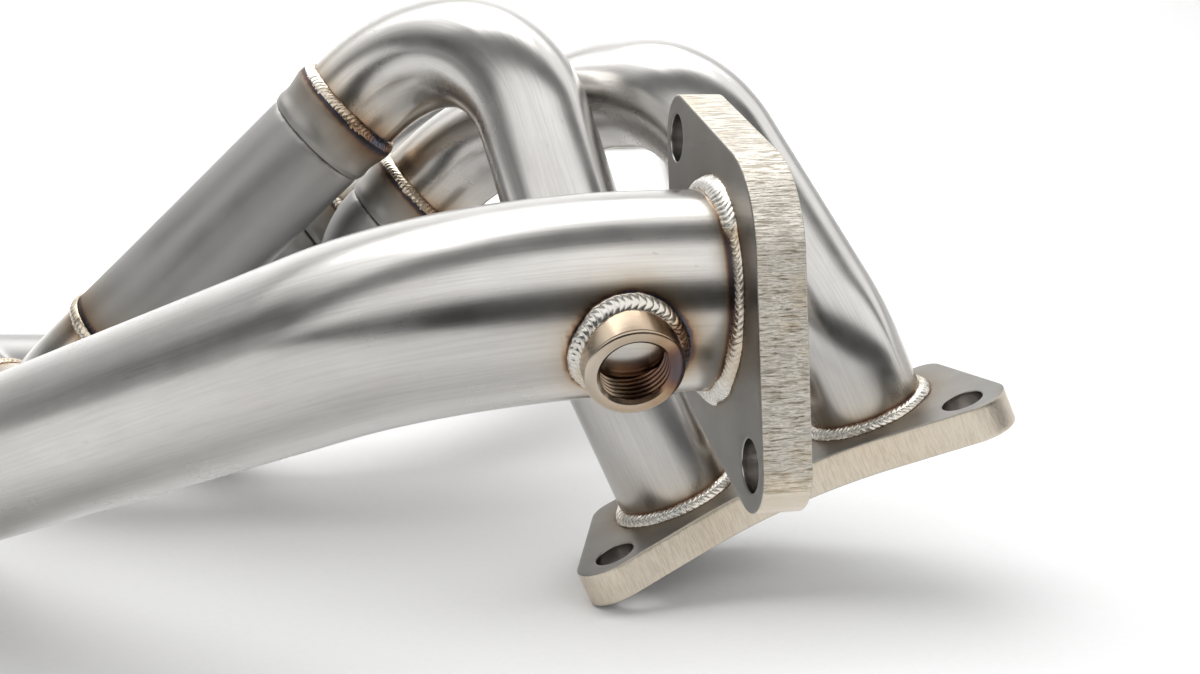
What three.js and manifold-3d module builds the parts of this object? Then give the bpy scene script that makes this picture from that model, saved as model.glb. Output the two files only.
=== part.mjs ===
// Welded tubular exhaust manifold for a flat-four engine, lying with its head flanges down.
// Millimetres, +Z up. The model is laid out from the centre of the outlet flange's mating face,
// with +X along the outlet, and is then moved so that z = 0 is the surface that it rests on.
import * as THREE from "three";
import { mergeVertices } from "three/addons/utils/BufferGeometryUtils.js";
import Module from "manifold-3d";

const wasm = await Module();
wasm.setup();

// ---------------------------------------------------------------- driving dimensions
const GAP = 0.3; // clearance between pieces that touch
const OUTER_SIDES = 16;
const INNER_SIDES = 10;
const BEND_STEP = THREE.MathUtils.degToRad(20);

const PRIMARY = { od: 41.3, wall: 1.5, bend: 48 };
const SECONDARY = { od: 41.3, wall: 1.5, bend: 45 };
const OUTLET = { od: 50.8, wall: 1.5, bend: 110 };
const RETURN = { ...OUTLET, bend: 65 };
const LEG = { od: 43, wall: 1.8, bend: 28 }; // formed sheet of a collector
const COLLAR = { od: 45, wall: 3.4, length: 17 };

const PLATE = 12; // thickness of every flange
const HEAD = {
  turn: THREE.MathUtils.degToRad(-9), // about +Z
  tilt: THREE.MathUtils.degToRad(24), // the +X end is the higher one
  boltLine: new THREE.Vector3(43.4, 89.1, -81.7), // middle of the near bank's end bolts, on the weld face
  bankSpacing: 400, // between the two banks' lines of end bolts
  portPitch: 75,
  portInset: 31.5, // from the line of end bolts towards the engine's middle
  boltPitch: 128,
  middleBoltInset: 52,
  boltRadius: 7,
};
const OUTLET_BOLT = { y: 34, z: 36, radius: 6.4 };
const BUNG = { x: -38.5, angle: THREE.MathUtils.degToRad(24), od: 24, bore: 16.6, reach: 33 };

// Outline corners as [x, y, corner radius].
const HEAD_OUTLINE = [
  [-80.5, -12, 11],
  [-64, -11.5, 6],
  [0, 9.6, 110],
  [64, -11.5, 6],
  [80.5, -12, 11],
  [69, 49.5, 9],
  [0, 67, 30],
  [-69, 49.5, 9],
];
const OUTLET_OUTLINE = [
  [46.7, 51.5, 11],
  [-32.2, 31.3, 28],
  [-46.7, -51.5, 11],
  [32.2, -31.3, 28],
];

const STEEL = { color: 0xb9b6b0, roughness: 0.34, metalness: 1 };
const FORMED_STEEL = { color: 0x9c9c9c, roughness: 0.55, metalness: 1 };
const PLATE_STEEL = { color: 0xb5a98f, roughness: 0.5, metalness: 1 };
const WELD_METAL = { color: 0xc4bfb4, roughness: 0.3, metalness: 1 };
const BUNG_STEEL = { color: 0xa08a68, roughness: 0.3, metalness: 1 };

// ---------------------------------------------------------------- small helpers
const point = (x, y, z) => new THREE.Vector3(x, y, z);
const along = (from, direction, distance) => from.clone().addScaledVector(direction, distance);
const heading = (from, to) => to.clone().sub(from).normalize();

function solid(geometry) {
  const bare = geometry.index ? geometry.toNonIndexed() : geometry.clone();
  bare.deleteAttribute("normal");
  bare.deleteAttribute("uv");
  const merged = mergeVertices(bare, 1e-4);
  return new wasm.Manifold(
    new wasm.Mesh({
      numProp: 3,
      vertProperties: merged.attributes.position.array,
      triVerts: new Uint32Array(merged.index.array),
    }),
  );
}

function geometryOf(body) {
  const mesh = body.getMesh();
  const geometry = new THREE.BufferGeometry();
  geometry.setAttribute("position", new THREE.BufferAttribute(new Float32Array(mesh.vertProperties), 3));
  geometry.setIndex(new THREE.BufferAttribute(new Uint32Array(mesh.triVerts), 1));
  return geometry;
}

function circlePoints(radius, sides) {
  return Array.from({ length: sides }, (_, i) => {
    const angle = (2 * Math.PI * i) / sides;
    return new THREE.Vector2(radius * Math.cos(angle), radius * Math.sin(angle));
  });
}

// A closed outline through corners, each rounded by an arc of its own radius.
function roundedShape(corners) {
  const shape = new THREE.Shape();
  corners.forEach(([x, y, radius], i) => {
    const corner = new THREE.Vector2(x, y);
    const before = new THREE.Vector2(...corners.at(i - 1)).sub(corner).normalize();
    const after = new THREE.Vector2(...corners[(i + 1) % corners.length]).sub(corner).normalize();
    const half = Math.acos(before.dot(after)) / 2;
    const centre = before.clone().add(after).setLength(radius / Math.sin(half)).add(corner);
    const first = before.clone().multiplyScalar(radius / Math.tan(half)).add(corner).sub(centre);
    const last = after.clone().multiplyScalar(radius / Math.tan(half)).add(corner).sub(centre);
    const clockwise = before.cross(after) > 0;
    shape.absarc(centre.x, centre.y, radius, first.angle(), last.angle(), clockwise);
  });
  return shape;
}

// ---------------------------------------------------------------- tubes
// Straights joined by arcs of one radius, with a station at each end and at steps round each bend.
class BentRun extends THREE.Curve {
  constructor(corners, bendRadius) {
    super();
    this.stations = [];
    this.addStation(corners[0], heading(corners[0], corners[1]));
    for (let i = 1; i < corners.length - 1; i++) {
      this.addBend(corners[i - 1], corners[i], corners[i + 1], bendRadius);
    }
    this.addStation(corners.at(-1), heading(corners.at(-2), corners.at(-1)));
  }

  addStation(place, direction) {
    this.stations.push({ place, direction });
  }

  addBend(before, corner, after, radius) {
    const into = heading(before, corner);
    const outOf = heading(corner, after);
    const turn = into.angleTo(outOf);
    const axis = into.clone().cross(outOf).normalize();
    const start = along(corner, into, -radius * Math.tan(turn / 2));
    const centre = along(start, axis.clone().cross(into), radius);
    const steps = Math.ceil(turn / BEND_STEP);
    for (let i = 0; i <= steps; i++) {
      const angle = (turn * i) / steps;
      const place = start.clone().sub(centre).applyAxisAngle(axis, angle).add(centre);
      this.addStation(place, into.clone().applyAxisAngle(axis, angle));
    }
  }

  stationAt(u) {
    return this.stations[Math.round(u * (this.stations.length - 1))];
  }

  getPoint(u, target = new THREE.Vector3()) {
    return target.copy(this.stationAt(u).place);
  }

  getPointAt(u, target) {
    return this.getPoint(u, target);
  }

  getTangentAt(u, target = new THREE.Vector3()) {
    return target.copy(this.stationAt(u).direction);
  }
}

function sweep(shape, corners, bendRadius) {
  const run = new BentRun(corners, bendRadius);
  return new THREE.ExtrudeGeometry(shape, {
    steps: run.stations.length - 1,
    extrudePath: run,
    bevelEnabled: false,
  });
}

function rod(radius, corners, bendRadius, sides = OUTER_SIDES) {
  return sweep(new THREE.Shape(circlePoints(radius, sides)), corners, bendRadius);
}

function tube({ od, wall, bend }, corners) {
  const shape = new THREE.Shape(circlePoints(od / 2, OUTER_SIDES));
  shape.holes.push(new THREE.Path(circlePoints(od / 2 - wall, INNER_SIDES)));
  return sweep(shape, corners, bend);
}

// The same corners with both ends moved outwards.
function stretched(corners, by) {
  const list = corners.map((corner) => corner.clone());
  list[0].addScaledVector(heading(corners[1], corners[0]), by);
  list.at(-1).addScaledVector(heading(corners.at(-2), corners.at(-1)), by);
  return list;
}

// ---------------------------------------------------------------- weld beads
const BEAD_SIDES = 20;
const BEAD_CLEARANCE = 0.4; // to the tube inside the bead

// Turns a profile of [radius, height] points about +Y, then points +Y along a direction.
function ringAt(profile, place, direction) {
  const closed = [...profile, profile[0]].map(([radius, height]) => new THREE.Vector2(radius, height));
  const ring = new THREE.LatheGeometry(closed, BEAD_SIDES);
  const turn = new THREE.Quaternion().setFromUnitVectors(point(0, 1, 0), direction);
  return ring.applyQuaternion(turn).translate(place.x, place.y, place.z);
}

// A bead in the corner between a tube and the face that it stands on.
function cornerBead(od, leg, place, direction) {
  const inner = od / 2 + BEAD_CLEARANCE;
  const profile = [
    [inner, GAP],
    [inner + leg, GAP],
    [inner + 0.6 * leg, 0.65 * leg],
    [inner, leg],
  ];
  return ringAt(profile, place, direction);
}

// A raised bead over the seam between two tubes that butt together.
function seamBead(od, height, halfWidth, place, direction) {
  const inner = od / 2 + BEAD_CLEARANCE;
  const profile = [
    [inner, -halfWidth],
    [inner + height, -0.5 * halfWidth],
    [inner + height, 0.5 * halfWidth],
    [inner, halfWidth],
  ];
  return ringAt(profile, place, direction);
}

// ---------------------------------------------------------------- head flanges
const headTurn = new THREE.Quaternion().setFromEuler(new THREE.Euler(0, -HEAD.tilt, HEAD.turn, "ZYX"));
const headUp = point(0, 0, 1).applyQuaternion(headTurn);

// Each bank's line of end bolts, and the way from it to the engine's middle.
const BANKS = {
  near: { line: 0, inward: 1 },
  far: { line: HEAD.bankSpacing, inward: -1 },
};
const ENDS = { front: -1, rear: 1 };

function onHead(bank, x, inset, height) {
  return point(x, bank.line + bank.inward * inset, height).applyQuaternion(headTurn).add(HEAD.boltLine);
}

function portAt(bank, end) {
  return onHead(BANKS[bank], (ENDS[end] * HEAD.portPitch) / 2, HEAD.portInset, 0);
}

function hole(x, y, radius, sides) {
  return new THREE.Path(circlePoints(radius, sides).map((p) => p.add(new THREE.Vector2(x, y))));
}

function headFlange(bank) {
  const corners = HEAD_OUTLINE.map(([x, y, radius]) => [x, bank.inward * y, radius]);
  const shape = roundedShape(bank.inward > 0 ? corners : corners.reverse());
  const portRadius = PRIMARY.od / 2 - PRIMARY.wall;
  const portY = bank.inward * HEAD.portInset;
  for (const side of Object.values(ENDS)) {
    shape.holes.push(hole((side * HEAD.portPitch) / 2, portY, portRadius, OUTER_SIDES));
    shape.holes.push(hole((side * HEAD.boltPitch) / 2, 0, HEAD.boltRadius, INNER_SIDES));
  }
  shape.holes.push(hole(0, bank.inward * HEAD.middleBoltInset, HEAD.boltRadius, INNER_SIDES));
  const plate = new THREE.ExtrudeGeometry(shape, { depth: PLATE, bevelEnabled: false, curveSegments: 5 });
  const place = onHead(bank, 0, 0, 0);
  return plate.translate(0, 0, -PLATE).applyQuaternion(headTurn).translate(place.x, place.y, place.z);
}

// ---------------------------------------------------------------- primary tubes
// Each route leaves its port square to the flange, for the stated rise, and then follows its corners.
const PRIMARIES = {
  near_front: { rise: 71, corners: [point(-35, 178, 60), point(-72, 217, 58), point(-94, 222, 37)] },
  near_rear: {
    rise: 32,
    corners: [point(29, 166, 44.5), point(3, 203, 42.5), point(-45, 240, 19), point(-65, 244, 0)],
  },
  far_front: { rise: 50, corners: [point(-5, 360, -50), point(-50.2, 300.3, -55)] },
  far_rear: {
    rise: 32,
    corners: [point(88, 385, 28), point(28, 346, 30), point(-33, 297, 32), point(-96, 296, -12)],
  },
};

function primaryRoute(name) {
  const port = portAt(...name.split("_"));
  const { rise, corners } = PRIMARIES[name];
  return [along(port, headUp, GAP), along(port, headUp, rise), ...corners];
}

// The middle and the direction of a collar's free end, where its primary tube stops.
function primaryEnd(name) {
  const { corners } = PRIMARIES[name];
  return { place: corners.at(-1), direction: heading(corners.at(-2), corners.at(-1)) };
}

// ---------------------------------------------------------------- two-into-one collectors
// Each takes one primary tube from either bank. A leg runs from its collar through its own corners
// to the place, the merge distance ahead of the outlet, where the two legs become one.
const COLLECTORS = {
  front: {
    legs: { near_front: [], far_rear: [point(-122, 295.6, -30.3)] },
    outlet: point(-189, 244, -54),
    flow: point(-0.71, 0.2, -0.675).normalize(),
    merge: 25,
  },
  rear: {
    legs: { near_rear: [point(-84.4, 247.9, -18.4)], far_front: [] },
    outlet: point(-118, 248, -78),
    flow: point(-0.75, 0.25, -0.6).normalize(),
    merge: 30,
  },
};

function legRoute(collector, name) {
  const { place, direction } = primaryEnd(name);
  const start = along(place, direction, GAP + COLLAR.length + GAP);
  const meeting = along(collector.outlet, collector.flow, -collector.merge);
  return [start, ...collector.legs[name], meeting, collector.outlet];
}

// A body with an outer and an inner surface, each the union of several runs.
function hollowBody(outer, inner) {
  const join = (runs) => runs.map(solid).reduce((whole, next) => whole.add(next));
  return geometryOf(join(outer).subtract(join(inner)));
}

function collectorBody(collector) {
  const legs = Object.keys(collector.legs).map((name) => legRoute(collector, name));
  const bore = LEG.od / 2 - LEG.wall;
  return hollowBody(
    legs.map((leg) => rod(LEG.od / 2, leg, LEG.bend)),
    legs.map((leg) => rod(bore, stretched(leg, 1), LEG.bend, INNER_SIDES)),
  );
}

// ---------------------------------------------------------------- outlet side
// The low run lies near the resting surface: the outlet tube's far end, the return bend beside it
// and the final collector all have their axes at one height.
const LOW = -97;
const OUTLET_CORNER = point(-75, 0, 0);
const RUN_START = point(-267, 174, LOW);
const RUN = point(-0.741, 0.671, 0).normalize();
const ACROSS = RUN.clone().cross(point(0, 0, 1));
const RUN_END = 150;
const RETURN_END = 229;
const RETURN_OFFSET = 2 * RETURN.bend + 4;
const FINAL = { inlet: 75, outlet: 160, spread: 26, straight: 20 };
const FINAL_SIDE = { front: -1, rear: 1 };

function onRun(distance, offset) {
  return RUN_START.clone().addScaledVector(RUN, distance).addScaledVector(ACROSS, offset);
}

function finalInlet(name, distance = FINAL.inlet) {
  return onRun(distance, RETURN_OFFSET + FINAL_SIDE[name] * FINAL.spread);
}

const outletRoute = [point(-PLATE - GAP, 0, 0), OUTLET_CORNER, RUN_START, onRun(RUN_END, 0)];
const returnRoute = [
  onRun(RUN_END + GAP, 0),
  onRun(RETURN_END, 0),
  onRun(RETURN_END, RETURN_OFFSET),
  onRun(FINAL.outlet + GAP, RETURN_OFFSET),
];

// A secondary tube runs straight out of its collector, then slants to the straight before its inlet.
const SECONDARY_STRAIGHT = { outOfCollector: 31.5, intoInlet: 29 };

function secondaryRoute(name) {
  const { outlet, flow } = COLLECTORS[name];
  return [
    along(outlet, flow, GAP),
    along(outlet, flow, SECONDARY_STRAIGHT.outOfCollector),
    finalInlet(name, FINAL.inlet - SECONDARY_STRAIGHT.intoInlet),
    finalInlet(name, FINAL.inlet - GAP),
  ];
}

function finalCollectorBody() {
  const mergeEnd = FINAL.outlet - FINAL.straight;
  const outlet = onRun(FINAL.outlet, RETURN_OFFSET);
  const legs = Object.keys(FINAL_SIDE).map((name) => [
    finalInlet(name),
    finalInlet(name, FINAL.inlet + FINAL.straight),
    onRun(mergeEnd, RETURN_OFFSET),
    outlet,
  ]);
  const spout = [onRun(mergeEnd - 4, RETURN_OFFSET), outlet];
  const spoutBore = [onRun(mergeEnd - 2, RETURN_OFFSET), along(outlet, RUN, 1)];
  const bore = LEG.od / 2 - LEG.wall;
  return hollowBody(
    [...legs.map((leg) => rod(LEG.od / 2, leg, LEG.bend)), rod(OUTLET.od / 2, spout)],
    [
      ...legs.map((leg) => rod(bore, stretched(leg, 1), LEG.bend, INNER_SIDES)),
      rod(OUTLET.od / 2 - OUTLET.wall, spoutBore, 0, INNER_SIDES),
    ],
  );
}

function outletFlange() {
  const shape = roundedShape(OUTLET_OUTLINE);
  shape.holes.push(hole(0, 0, OUTLET.od / 2 - OUTLET.wall, OUTER_SIDES));
  for (const side of [-1, 1]) {
    shape.holes.push(hole(side * OUTLET_BOLT.y, side * OUTLET_BOLT.z, OUTLET_BOLT.radius, INNER_SIDES));
  }
  const plate = new THREE.ExtrudeGeometry(shape, { depth: PLATE, bevelEnabled: false, curveSegments: 5 });
  // The outline's x and y become the part's y and z, and the plate ends at x = 0.
  const stand = new THREE.Matrix4().makeBasis(point(0, 1, 0), point(0, 0, 1), point(1, 0, 0));
  return plate.translate(0, 0, -PLATE).applyMatrix4(stand);
}

// ---------------------------------------------------------------- sensor bung
const bungBase = point(BUNG.x, 0, 0);
const bungAxis = point(0, -Math.cos(BUNG.angle), -Math.sin(BUNG.angle));
const PILOT_RADIUS = 8; // hole in the tube's wall, under the bung
const SADDLE_SIDES = 32;

function acrossTube(radius) {
  const straight = [point(BUNG.x - 30, 0, 0), point(BUNG.x + 27, 0, 0)];
  return solid(rod(radius, straight, 0, SADDLE_SIDES));
}

function outletTube() {
  const pilotLine = [bungBase, along(bungBase, bungAxis, OUTLET.od)];
  const pilot = solid(rod(PILOT_RADIUS, pilotLine, 0, INNER_SIDES));
  return geometryOf(solid(tube(OUTLET, outletRoute)).subtract(pilot));
}

function sensorBung() {
  const profile = [
    [BUNG.bore / 2, 15],
    [BUNG.od / 2, 15],
    [BUNG.od / 2, BUNG.reach - 0.8],
    [BUNG.od / 2 - 0.8, BUNG.reach],
    [BUNG.bore / 2 + 0.8, BUNG.reach],
    [BUNG.bore / 2, BUNG.reach - 0.8],
  ];
  const body = solid(ringAt(profile, bungBase, bungAxis));
  return geometryOf(body.subtract(acrossTube(OUTLET.od / 2 + GAP)));
}

function bungBead() {
  const inner = BUNG.od / 2 + BEAD_CLEARANCE;
  const band = [
    [inner, 15],
    [inner + 3.4, 15],
    [inner + 3.4, 40],
    [inner, 40],
  ];
  const crown = acrossTube(OUTLET.od / 2 + 3.2);
  const saddle = acrossTube(OUTLET.od / 2 + GAP);
  return geometryOf(solid(ringAt(band, bungBase, bungAxis)).intersect(crown).subtract(saddle));
}

// ---------------------------------------------------------------- assembly
const manifold = new THREE.Group();

function add(name, geometry, look) {
  const mesh = new THREE.Mesh(geometry, new THREE.MeshStandardMaterial(look));
  mesh.name = name;
  manifold.add(mesh);
}

for (const [name, bank] of Object.entries(BANKS)) {
  add(`head_flange_${name}`, headFlange(bank), PLATE_STEEL);
}

for (const name of Object.keys(PRIMARIES)) {
  const { place, direction } = primaryEnd(name);
  const collarEnds = [along(place, direction, GAP), along(place, direction, GAP + COLLAR.length)];
  add(`primary_tube_${name}`, tube(PRIMARY, primaryRoute(name)), STEEL);
  add(`head_weld_${name}`, cornerBead(PRIMARY.od, 3.3, portAt(...name.split("_")), headUp), WELD_METAL);
  add(`collar_${name}`, tube(COLLAR, collarEnds), FORMED_STEEL);
  add(`collar_weld_${name}`, cornerBead(PRIMARY.od, 3.3, place, direction.clone().negate()), WELD_METAL);
}

const upstream = RUN.clone().negate();
for (const [name, collector] of Object.entries(COLLECTORS)) {
  const { outlet, flow } = collector;
  add(`collector_${name}`, collectorBody(collector), FORMED_STEEL);
  add(`collector_weld_${name}`, cornerBead(SECONDARY.od, 3.4, outlet, flow), WELD_METAL);
  add(`secondary_tube_${name}`, tube(SECONDARY, secondaryRoute(name)), STEEL);
  add(`secondary_weld_${name}`, cornerBead(SECONDARY.od, 3.4, finalInlet(name), upstream), WELD_METAL);
}

add("final_collector", finalCollectorBody(), FORMED_STEEL);
add("final_weld", seamBead(OUTLET.od, 1.6, 3.5, onRun(FINAL.outlet, RETURN_OFFSET), RUN), WELD_METAL);
add("return_bend", tube(RETURN, returnRoute), STEEL);
add("return_weld", seamBead(OUTLET.od, 1.6, 3.5, onRun(RUN_END, 0), RUN), WELD_METAL);
add("outlet_tube", outletTube(), STEEL);
add("outlet_flange", outletFlange(), PLATE_STEEL);
add("outlet_weld", cornerBead(OUTLET.od, 3.2, point(-PLATE, 0, 0), point(-1, 0, 0)), WELD_METAL);
add("sensor_bung", sensorBung(), BUNG_STEEL);
add("bung_weld", bungBead(), WELD_METAL);

// The origin is the middle of the resting surface under the part.
const bounds = new THREE.Box3().setFromObject(manifold);
const middle = bounds.getCenter(new THREE.Vector3());
manifold.position.set(-middle.x, -middle.y, -bounds.min.z);

export default manifold;
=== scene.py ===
"""Looks of a welded stainless exhaust manifold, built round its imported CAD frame.

Lengths are worked out in millimetres from the centre of the outlet flange's mating face, as in
part.mjs, and become metres in the shared frame when a mesh is made.
"""

import math

import bmesh
import bpy
import numpy as np
from mathutils import Matrix, Quaternion, Vector


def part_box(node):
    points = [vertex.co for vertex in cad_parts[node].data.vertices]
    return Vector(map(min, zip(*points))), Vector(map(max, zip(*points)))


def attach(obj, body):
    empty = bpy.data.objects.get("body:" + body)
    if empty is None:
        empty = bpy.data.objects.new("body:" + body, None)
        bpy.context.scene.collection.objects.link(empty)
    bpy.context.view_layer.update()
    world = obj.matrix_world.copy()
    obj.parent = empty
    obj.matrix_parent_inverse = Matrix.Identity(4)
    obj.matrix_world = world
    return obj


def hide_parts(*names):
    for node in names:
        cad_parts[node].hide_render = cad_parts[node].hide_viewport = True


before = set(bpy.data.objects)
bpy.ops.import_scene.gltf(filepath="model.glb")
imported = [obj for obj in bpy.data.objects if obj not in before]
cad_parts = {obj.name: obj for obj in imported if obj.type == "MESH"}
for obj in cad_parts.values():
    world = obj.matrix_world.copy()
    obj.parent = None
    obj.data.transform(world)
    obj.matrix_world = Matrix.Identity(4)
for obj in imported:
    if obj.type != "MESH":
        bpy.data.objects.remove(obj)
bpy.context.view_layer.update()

# ------------------------------------------------------------------ driving dimensions, as in part.mjs
MM = 0.001
X = Vector((1, 0, 0))
Z = Vector((0, 0, 1))

PRIMARY_OD, PRIMARY_BEND = 41.3, 48
SECONDARY_OD, SECONDARY_BEND = 41.3, 45
OUTLET_OD, OUTLET_BEND, RETURN_BEND = 50.8, 110, 65
WALL = 1.5
LEG_OD, LEG_BEND = 43, 28
COLLAR_OD, COLLAR_BORE, COLLAR_LENGTH = 45, 38.2, 17

PLATE = 12
HEAD_TURN, HEAD_TILT = math.radians(-9), math.radians(24)
HEAD_ORIGIN = Vector((43.4, 89.1, -81.7))
HEAD_BOLT_RADIUS, MIDDLE_BOLT_INSET = 7, 52
BOLT_PITCH, PORT_PITCH, PORT_INSET = 128, 75, 31.5
BANK_SPACING = 400
HEAD_OUTLINE = (
    (-80.5, -12, 11),
    (-64, -11.5, 6),
    (0, 9.6, 110),
    (64, -11.5, 6),
    (80.5, -12, 11),
    (69, 49.5, 9),
    (0, 67, 30),
    (-69, 49.5, 9),
)
OUTLET_OUTLINE = ((46.7, 51.5, 11), (-32.2, 31.3, 28), (-46.7, -51.5, 11), (32.2, -31.3, 28))
OUTLET_BOLT, OUTLET_BOLT_RADIUS = (34, 36), 6.4
OUTLET_GROUND = -39.5  # below this height its edge is ground smooth
GROUND, SAWN, WATER_CUT = 0.2, 0.4, 1.0  # how rough a flange's edge is

BUNG_X, BUNG_ANGLE = -38.5, math.radians(24)
BUNG_OD, BUNG_BORE, BUNG_REACH, BUNG_ROOT = 24, 16.6, 33, 14
BUNG_CHAMFER = 0.8
THREAD_PITCH, THREAD_DEPTH = 1.5, 0.8
THREAD_TURNS = 9
# One thread's outline from a crest down the bore, in parts of the pitch and of the depth.
THREAD_FORM = ((0, 0), (0.26, 0), (0.56, 1), (0.68, 1), (0.98, 0))

LOW = -97
RUN = Vector((-0.741, 0.671, 0)).normalized()
ACROSS = RUN.cross(Z)
RUN_START = Vector((-267, 174, LOW))
OUTLET_CORNER = Vector((-75, 0, 0))
RUN_END, RETURN_END = 150, 229
RETURN_OFFSET = 2 * RETURN_BEND + 4
FINAL_INLET, FINAL_OUTLET, FINAL_SPREAD, FINAL_STRAIGHT = 75, 160, 26, 20
SECONDARY_OUT, SECONDARY_IN = 31.5, 29

BANKS = {"near": (0, 1), "far": (BANK_SPACING, -1)}
ENDS = {"front": -1, "rear": 1}
PRIMARIES = {
    "near_front": (71, ((-35, 178, 60), (-72, 217, 58), (-94, 222, 37))),
    "near_rear": (32, ((29, 166, 44.5), (3, 203, 42.5), (-45, 240, 19), (-65, 244, 0))),
    "far_front": (50, ((-5, 360, -50), (-50.2, 300.3, -55))),
    "far_rear": (32, ((88, 385, 28), (28, 346, 30), (-33, 297, 32), (-96, 296, -12))),
}
COLLECTORS = {
    "front": {
        "legs": {"near_front": (), "far_rear": ((-122, 295.6, -30.3),)},
        "outlet": Vector((-189, 244, -54)),
        "flow": Vector((-0.71, 0.2, -0.675)).normalized(),
        "merge": 25,
    },
    "rear": {
        "legs": {"near_rear": ((-84.4, 247.9, -18.4),), "far_front": ()},
        "outlet": Vector((-118, 248, -78)),
        "flow": Vector((-0.75, 0.25, -0.6)).normalized(),
        "merge": 30,
    },
}
FINAL_SIDES = {"front": -1, "rear": 1}

flange_low, flange_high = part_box("outlet_flange")
ORIGIN = Vector((flange_high.x, (flange_low.y + flange_high.y) / 2, (flange_low.z + flange_high.z) / 2))


# ------------------------------------------------------------------ places on the part
HEAD_ALONG = Vector((
    math.cos(HEAD_TILT) * math.cos(HEAD_TURN),
    math.cos(HEAD_TILT) * math.sin(HEAD_TURN),
    math.sin(HEAD_TILT),
))
HEAD_INWARD = Vector((-math.sin(HEAD_TURN), math.cos(HEAD_TURN), 0))
HEAD_UP = HEAD_ALONG.cross(HEAD_INWARD)


def on_head(bank, along, inset, height=0):
    line, inward = BANKS[bank]
    return HEAD_ORIGIN + HEAD_ALONG * along + HEAD_INWARD * (line + inward * inset) + HEAD_UP * height


def port(name):
    bank, end = name.split("_")
    return on_head(bank, ENDS[end] * PORT_PITCH / 2, PORT_INSET)


def on_run(distance, offset=0):
    return RUN_START + RUN * distance + ACROSS * offset


def final_inlet(name, distance=FINAL_INLET):
    return on_run(distance, RETURN_OFFSET + FINAL_SIDES[name] * FINAL_SPREAD)


def primary_route(name):
    rise, corners = PRIMARIES[name]
    start = port(name)
    return [start, start + HEAD_UP * rise, *map(Vector, corners)]


def primary_end(name):
    route = primary_route(name)
    return route[-1], (route[-1] - route[-2]).normalized()


def leg_route(collector, name):
    end, direction = primary_end(name)
    outlet = collector["outlet"]
    meeting = outlet - collector["flow"] * collector["merge"]
    corners = map(Vector, collector["legs"][name])
    return [end + direction * COLLAR_LENGTH, *corners, meeting, outlet]


def secondary_route(name):
    outlet, flow = COLLECTORS[name]["outlet"], COLLECTORS[name]["flow"]
    approach = final_inlet(name, FINAL_INLET - SECONDARY_IN)
    return [outlet, outlet + flow * SECONDARY_OUT, approach, final_inlet(name)]


def final_runs():
    """The final collector's two legs and its outlet, as runs of corners, bend and radius."""
    merge = FINAL_OUTLET - FINAL_STRAIGHT
    outlet = on_run(FINAL_OUTLET, RETURN_OFFSET)
    runs = []
    for name in FINAL_SIDES:
        elbow = final_inlet(name, FINAL_INLET + FINAL_STRAIGHT)
        corners = [final_inlet(name), elbow, on_run(merge, RETURN_OFFSET), outlet]
        runs.append((corners, LEG_BEND, LEG_OD / 2))
    runs.append(([on_run(merge - 4, RETURN_OFFSET), outlet], 0, OUTLET_OD / 2))
    return runs


OUTLET_ROUTE = [Vector((-PLATE, 0, 0)), OUTLET_CORNER, RUN_START, on_run(RUN_END)]
RETURN_ROUTE = [
    on_run(RUN_END),
    on_run(RETURN_END),
    on_run(RETURN_END, RETURN_OFFSET),
    on_run(FINAL_OUTLET, RETURN_OFFSET),
]
BUNG_BASE = Vector((BUNG_X, 0, 0))
BUNG_AXIS = Vector((0, -math.cos(BUNG_ANGLE), -math.sin(BUNG_ANGLE)))


# ------------------------------------------------------------------ smooth noise for shapes
def wobble(value, seed):
    """A smooth wave between about -1 and 1 with no short repeat."""
    return (
        math.sin(value + seed)
        + 0.7 * math.sin(2.31 * value + 2.7 * seed)
        + 0.5 * math.sin(5.17 * value + 5.1 * seed)
    ) / 2.2


# ------------------------------------------------------------------ welds
RIPPLE, PUDDLE_BOW = 0.26, 0.9  # the ripples' height, and how many pitches a puddle's front bows


class Weld:
    """One weld: a closed line along a corner or a seam, with its section and its heat.

    Each of its frames is a place on the line, the direction out over the piece it starts on, and
    the direction up the piece that it ends on. start and end are the section's two toes in those
    directions, and crown is how far it bulges between them. Its ripples are pitch apart. heat is how
    much oxide it leaves beside it, fading over width. temper(turn), scale(turn) and around(turn)
    vary its own oxide, its size and the oxide beside it with the part of a turn from 0 to 1.
    """

    def __init__(self, name, frames, start, end, crown, pitch, seed, heat, width, **vary):
        self.name = name
        self.frames = frames
        self.start, self.end, self.crown = start, end, crown
        self.pitch, self.seed = pitch, seed
        self.heat, self.width = heat, width
        self.temper = vary["temper"]
        self.scale = vary.get("scale", lambda turn: 1.0)
        self.around = vary.get("around", lambda turn: 1.0)


def ring_frames(centre, up, radius, zero, count=720):
    """Frames round a circle, from the direction zero."""
    first = (zero - up * zero.dot(up)).normalized()
    frames = []
    for i in range(count):
        out = Quaternion(up, 2 * math.pi * i / count) @ first
        frames.append((centre + out * radius, out, up))
    return frames


def saddle_frames(count=560):
    """Frames where the bung's barrel meets the outlet tube."""
    side = BUNG_AXIS.cross(X)
    frames = []
    for i in range(count):
        angle = 2 * math.pi * i / count
        radial = X * math.cos(angle) + side * math.sin(angle)
        height = math.sqrt((OUTLET_OD / 2) ** 2 - (BUNG_OD / 2 * math.sin(angle)) ** 2)
        place = BUNG_BASE + radial * (BUNG_OD / 2) + BUNG_AXIS * height
        normal = (place - Vector((place.x, 0, 0))).normalized()
        out = (radial - normal * radial.dot(normal)).normalized()
        frames.append((place, out, BUNG_AXIS))
    return frames


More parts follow.
